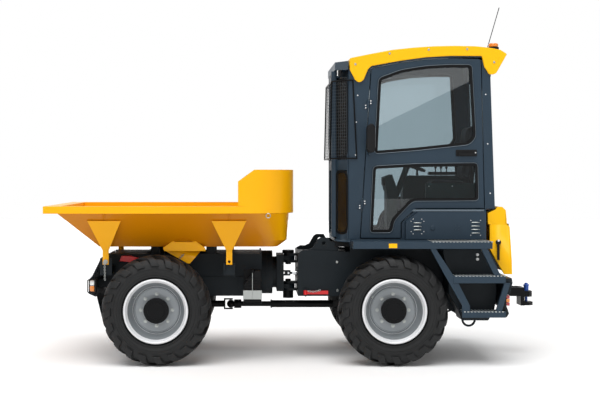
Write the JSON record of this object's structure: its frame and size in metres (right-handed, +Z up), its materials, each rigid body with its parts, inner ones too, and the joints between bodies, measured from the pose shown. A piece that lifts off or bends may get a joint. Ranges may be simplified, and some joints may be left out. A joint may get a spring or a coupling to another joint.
{
  "type": "articulated wheeled site dumper",
  "caption": "Articulated wheeled site dumper: front tipping skip on an oscillating front frame, closed cab, engine and tow hitch on the rear frame.",
  "frame": {"origin": "on the ground under the middle of the machine's length and width", "axes": "+X towards the tow hitch, so the machine drives towards -X; +Z up; -Y is the driver's left, the door side"},
  "size_m": [5.02, 2.12, 3.6159],
  "materials": {
    "paint_grey": "satin",
    "paint_black": "satin",
    "paint_yellow": "gloss",
    "paint_red": "gloss",
    "paint_silver": "satin",
    "zinc": "satin",
    "chrome": "polished",
    "lens": "gloss",
    "lens_amber": "gloss",
    "glass": "gloss",
    "plastic_black": "matte",
    "plastic_blue": "satin",
    "rubber": "matte",
    "tyre": "matte",
    "fabric": "woven"
  },
  "bodies": {
    "rear_frame": {"rear_chassis": "paint_grey", "articulation_pins": "paint_black", "rear_axle": "paint_black", "engine": "paint_black", "tanks": "paint_grey", "step_frames": "paint_grey", "rear_bumper": "paint_grey", "lamps": "lens", "tow_hitch": "paint_black", "steering_barrel": "paint_black", "cab_frame": "paint_grey", "cab_glass": "glass", "hinges_and_bolts": "zinc", "roof_cap": "paint_yellow", "side_panels": "paint_grey", "window_guard": "paint_black", "beacon": "lens_amber", "antenna": "plastic_black", "console": "plastic_black"},
    "centre_link": {"centre_link": "paint_grey"},
    "front_frame": {"front_chassis": "paint_grey", "front_axle": "paint_black", "lock_pins": "zinc", "front_bumper": "paint_grey", "front_lamps": "lens", "skip_prop": "paint_red", "wheel_chock": "rubber"},
    "skip": {"skip_body": "paint_yellow", "skip_brackets": "paint_yellow"},
    "ram_barrel": {"ram_barrel": "paint_black"},
    "ram_stage": {"ram_stage": "chrome"},
    "ram_rod": {"ram_rod": "chrome"},
    "steering_rod": {"steering_rod": "chrome"},
    "joint_cross": {"joint_cross": "zinc"},
    "drive_shaft": {"drive_shaft": "paint_black"},
    "wheel_front_left": {"tyre_front_left": "tyre", "rim_front_left": "paint_silver"},
    "wheel_front_right": {"tyre_front_right": "tyre", "rim_front_right": "paint_silver"},
    "wheel_rear_left": {"tyre_rear_left": "tyre", "rim_rear_left": "paint_silver"},
    "wheel_rear_right": {"tyre_rear_right": "tyre", "rim_rear_right": "paint_silver"},
    "door": {"door_frame": "paint_grey", "door_glass": "glass"},
    "door_handle": {"door_handle": "plastic_black"},
    "mirror_left": {"mirror_left": "plastic_black"},
    "mirror_right": {"mirror_right": "plastic_black"},
    "hood": {"hood": "paint_yellow"},
    "hood_latch": {"hood_latch": "plastic_black"},
    "steering_wheel": {"steering_wheel": "plastic_black"},
    "seat": {"seat_shell": "plastic_black", "seat_cushion": "fabric", "seat_back": "fabric"},
    "brake_pedal": {"brake_pedal": "paint_black"},
    "throttle_pedal": {"throttle_pedal": "paint_black"},
    "joystick": {"joystick": "plastic_black"},
    "wiper": {"wiper": "plastic_black"},
    "lock_bar": {"lock_bar": "paint_red"},
    "hitch_pin": {"hitch_pin": "plastic_blue"}
  },
  "joints": [
    {"name": "steering", "type": "hinge", "parent": "rear_frame", "child": "centre_link", "pos_m": [-0.075, 0, 0.858], "axis": [0, 0, 1], "range_deg": [-32, 32]},
    {"name": "oscillation", "type": "hinge", "parent": "centre_link", "child": "front_frame", "pos_m": [-0.302, 0, 0.858], "axis": [1, 0, 0], "range_deg": [-5, 5]},
    {"name": "skip_tip", "type": "hinge", "parent": "front_frame", "child": "skip", "pos_m": [-1.923, 0, 1.017], "axis": [0, -1, 0], "range_deg": [0, 55]},
    {"name": "ram_tilt", "type": "hinge", "parent": "front_frame", "child": "ram_barrel", "pos_m": [-1.14, 0, 0.9], "axis": [0, -1, 0], "range_deg": [0, 26.6]},
    {"name": "ram_stage_slide", "type": "slide", "parent": "ram_barrel", "child": "ram_stage", "axis": [0, 0, 1], "range_m": [0, 0.36]},
    {"name": "ram_rod_slide", "type": "slide", "parent": "ram_stage", "child": "ram_rod", "axis": [0, 0, 1], "range_m": [0, 0.36]},
    {"name": "steering_rod_slide", "type": "slide", "parent": "rear_frame", "child": "steering_rod", "axis": [1, 0, 0], "range_m": [-0.095, 0.095]},
    {"name": "shaft_yaw", "type": "hinge", "parent": "front_frame", "child": "joint_cross", "pos_m": [-0.681, 0, 0.52], "axis": [0, 0, 1], "range_deg": [-15.5, 15.5]},
    {"name": "shaft_spin", "type": "hinge", "parent": "joint_cross", "child": "drive_shaft", "pos_m": [-0.681, 0, 0.52], "axis": [1, 0, 0], "continuous": true},
    {"name": "wheel_front_left_spin", "type": "hinge", "parent": "front_frame", "child": "wheel_front_left", "pos_m": [-1.405, -0.85, 0.545], "axis": [0, 1, 0], "continuous": true},
    {"name": "wheel_front_right_spin", "type": "hinge", "parent": "front_frame", "child": "wheel_front_right", "pos_m": [-1.405, 0.85, 0.545], "axis": [0, 1, 0], "continuous": true},
    {"name": "wheel_rear_left_spin", "type": "hinge", "parent": "rear_frame", "child": "wheel_rear_left", "pos_m": [0.94, -0.85, 0.545], "axis": [0, 1, 0], "continuous": true},
    {"name": "wheel_rear_right_spin", "type": "hinge", "parent": "rear_frame", "child": "wheel_rear_right", "pos_m": [0.94, 0.85, 0.545], "axis": [0, 1, 0], "continuous": true},
    {"name": "door_hinge", "type": "hinge", "parent": "rear_frame", "child": "door", "pos_m": [0.652, -0.66, 1.587], "axis": [-0.0601, 0, -0.9982], "range_deg": [0, 70]},
    {"name": "door_handle_lift", "type": "hinge", "parent": "door", "child": "door_handle", "pos_m": [1.64, -0.665, 2.095], "axis": [0, -1, 0], "range_deg": [0, 25], "stiffness_Nm_per_rad": 3, "springref_deg": -5.73},
    {"name": "mirror_left_fold", "type": "hinge", "parent": "door", "child": "mirror_left", "pos_m": [0.722, -0.79, 2.108], "axis": [0, 0, 1], "range_deg": [-15, 15]},
    {"name": "mirror_right_fold", "type": "hinge", "parent": "rear_frame", "child": "mirror_right", "pos_m": [0.722, 0.79, 2.108], "axis": [0, 0, 1], "range_deg": [-45, 45]},
    {"name": "hood_lift", "type": "hinge", "parent": "rear_frame", "child": "hood", "pos_m": [2.01, 0, 1.548], "axis": [0, -1, 0], "range_deg": [0, 60]},
    {"name": "hood_latch_turn", "type": "hinge", "parent": "hood", "child": "hood_latch", "pos_m": [2.03, -0.64, 1.205], "axis": [0, -1, 0], "range_deg": [0, 90]},
    {"name": "steering_wheel_turn", "type": "hinge", "parent": "rear_frame", "child": "steering_wheel", "pos_m": [1.18, 0, 1.958], "axis": [0.3531, 0, 0.9356], "range_deg": [-480, 480]},
    {"name": "seat_slide", "type": "slide", "parent": "rear_frame", "child": "seat", "axis": [1, 0, 0], "range_m": [-0.1, 0.01]},
    {"name": "brake_pedal_press", "type": "hinge", "parent": "rear_frame", "child": "brake_pedal", "pos_m": [1.11, -0.205, 1.262], "axis": [0, -1, 0], "range_deg": [0, 18], "stiffness_Nm_per_rad": 20, "springref_deg": -8.59},
    {"name": "throttle_pedal_press", "type": "hinge", "parent": "rear_frame", "child": "throttle_pedal", "pos_m": [1.11, 0.205, 1.262], "axis": [0, -1, 0], "range_deg": [0, 18], "stiffness_Nm_per_rad": 20, "springref_deg": -8.59},
    {"name": "joystick_tilt", "type": "hinge", "parent": "rear_frame", "child": "joystick", "pos_m": [1.35, 0.44, 1.8943], "axis": [0, 1, 0], "range_deg": [-18, 18], "stiffness_Nm_per_rad": 8},
    {"name": "wiper_sweep", "type": "hinge", "parent": "rear_frame", "child": "wiper", "pos_m": [0.388, 0, 2.916], "axis": [1, 0, 0], "range_deg": [-45, 45]},
    {"name": "lock_bar_swing", "type": "hinge", "parent": "rear_frame", "child": "lock_bar", "pos_m": [0.09, -0.474, 0.68], "axis": [0, 0, -1], "range_deg": [0, 90]},
    {"name": "hitch_pin_lift", "type": "slide", "parent": "rear_frame", "child": "hitch_pin", "axis": [0, 0, 1], "range_m": [0, 0.12]}
  ],
  "couplings": [
    {"joint": "ram_tilt", "follows": "skip_tip", "ratio": 0.478},
    {"joint": "ram_stage_slide", "follows": "skip_tip", "m_per_rad": 0.37},
    {"joint": "ram_rod_slide", "follows": "skip_tip", "m_per_rad": 0.37},
    {"joint": "steering_rod_slide", "follows": "steering", "m_per_rad": 0.1645},
    {"joint": "shaft_yaw", "follows": "steering", "ratio": -0.473},
    {"joint": "steering_wheel_turn", "follows": "steering", "ratio": 15}
  ]
}
